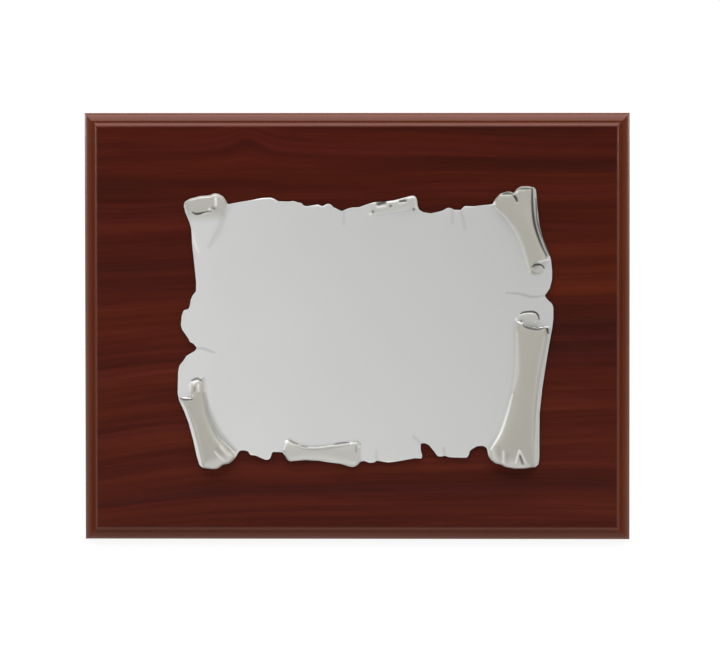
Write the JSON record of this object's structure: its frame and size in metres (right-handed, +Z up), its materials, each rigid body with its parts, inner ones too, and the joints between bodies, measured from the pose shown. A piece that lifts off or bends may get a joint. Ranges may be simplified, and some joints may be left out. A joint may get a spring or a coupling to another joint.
{
  "type": "presentation plaque",
  "caption": "Mahogany-finish presentation plaque with a moulded edge, a pressed silver parchment for text, a folding easel strut and a keyhole hanger.",
  "frame": {"origin": "centre of the footprint's bounding box, on the table the plaque stands on", "axes": "+X along the board's width to its right-hand side, +Y towards the back, +Z up; the face looks towards -Y and leans back 15 degrees"},
  "size_m": [0.23, 0.067, 0.1762],
  "materials": {
    "face_foil": "satin lacquered mahogany grain",
    "edge_lacquer": "satin brown lacquer, no grain",
    "back_foil": "matt brown foil",
    "pressed_silver": "satin field with polished curls",
    "tape": "matt",
    "zinc_steel": "zinc plated",
    "hinge_brass": "brass plated, satin",
    "strut_board": "matt brown hardboard",
    "black_rubber": "matt"
  },
  "bodies": {
    "board": {"board_core": "edge_lacquer", "front_laminate": "face_foil", "back_laminate": "back_foil", "parchment_plate": "pressed_silver", "plate_tape": "tape", "keyhole_plate": "zinc_steel", "keyhole_screws": "zinc_steel", "hinge_base": "hinge_brass", "hinge_base_screws": "hinge_brass", "hinge_pin": "zinc_steel", "back_bumpers": "black_rubber"},
    "strut": {"strut": "strut_board", "hinge_leaf": "hinge_brass", "leaf_rivets": "hinge_brass", "strut_foot_pad": "black_rubber"}
  },
  "joints": [
    {"name": "strut_fold", "type": "hinge", "parent": "board", "child": "strut", "pos_m": [0, 0.01166, 0.10728], "axis": [1, 0, 0], "range_deg": [-26, 0]}
  ]
}
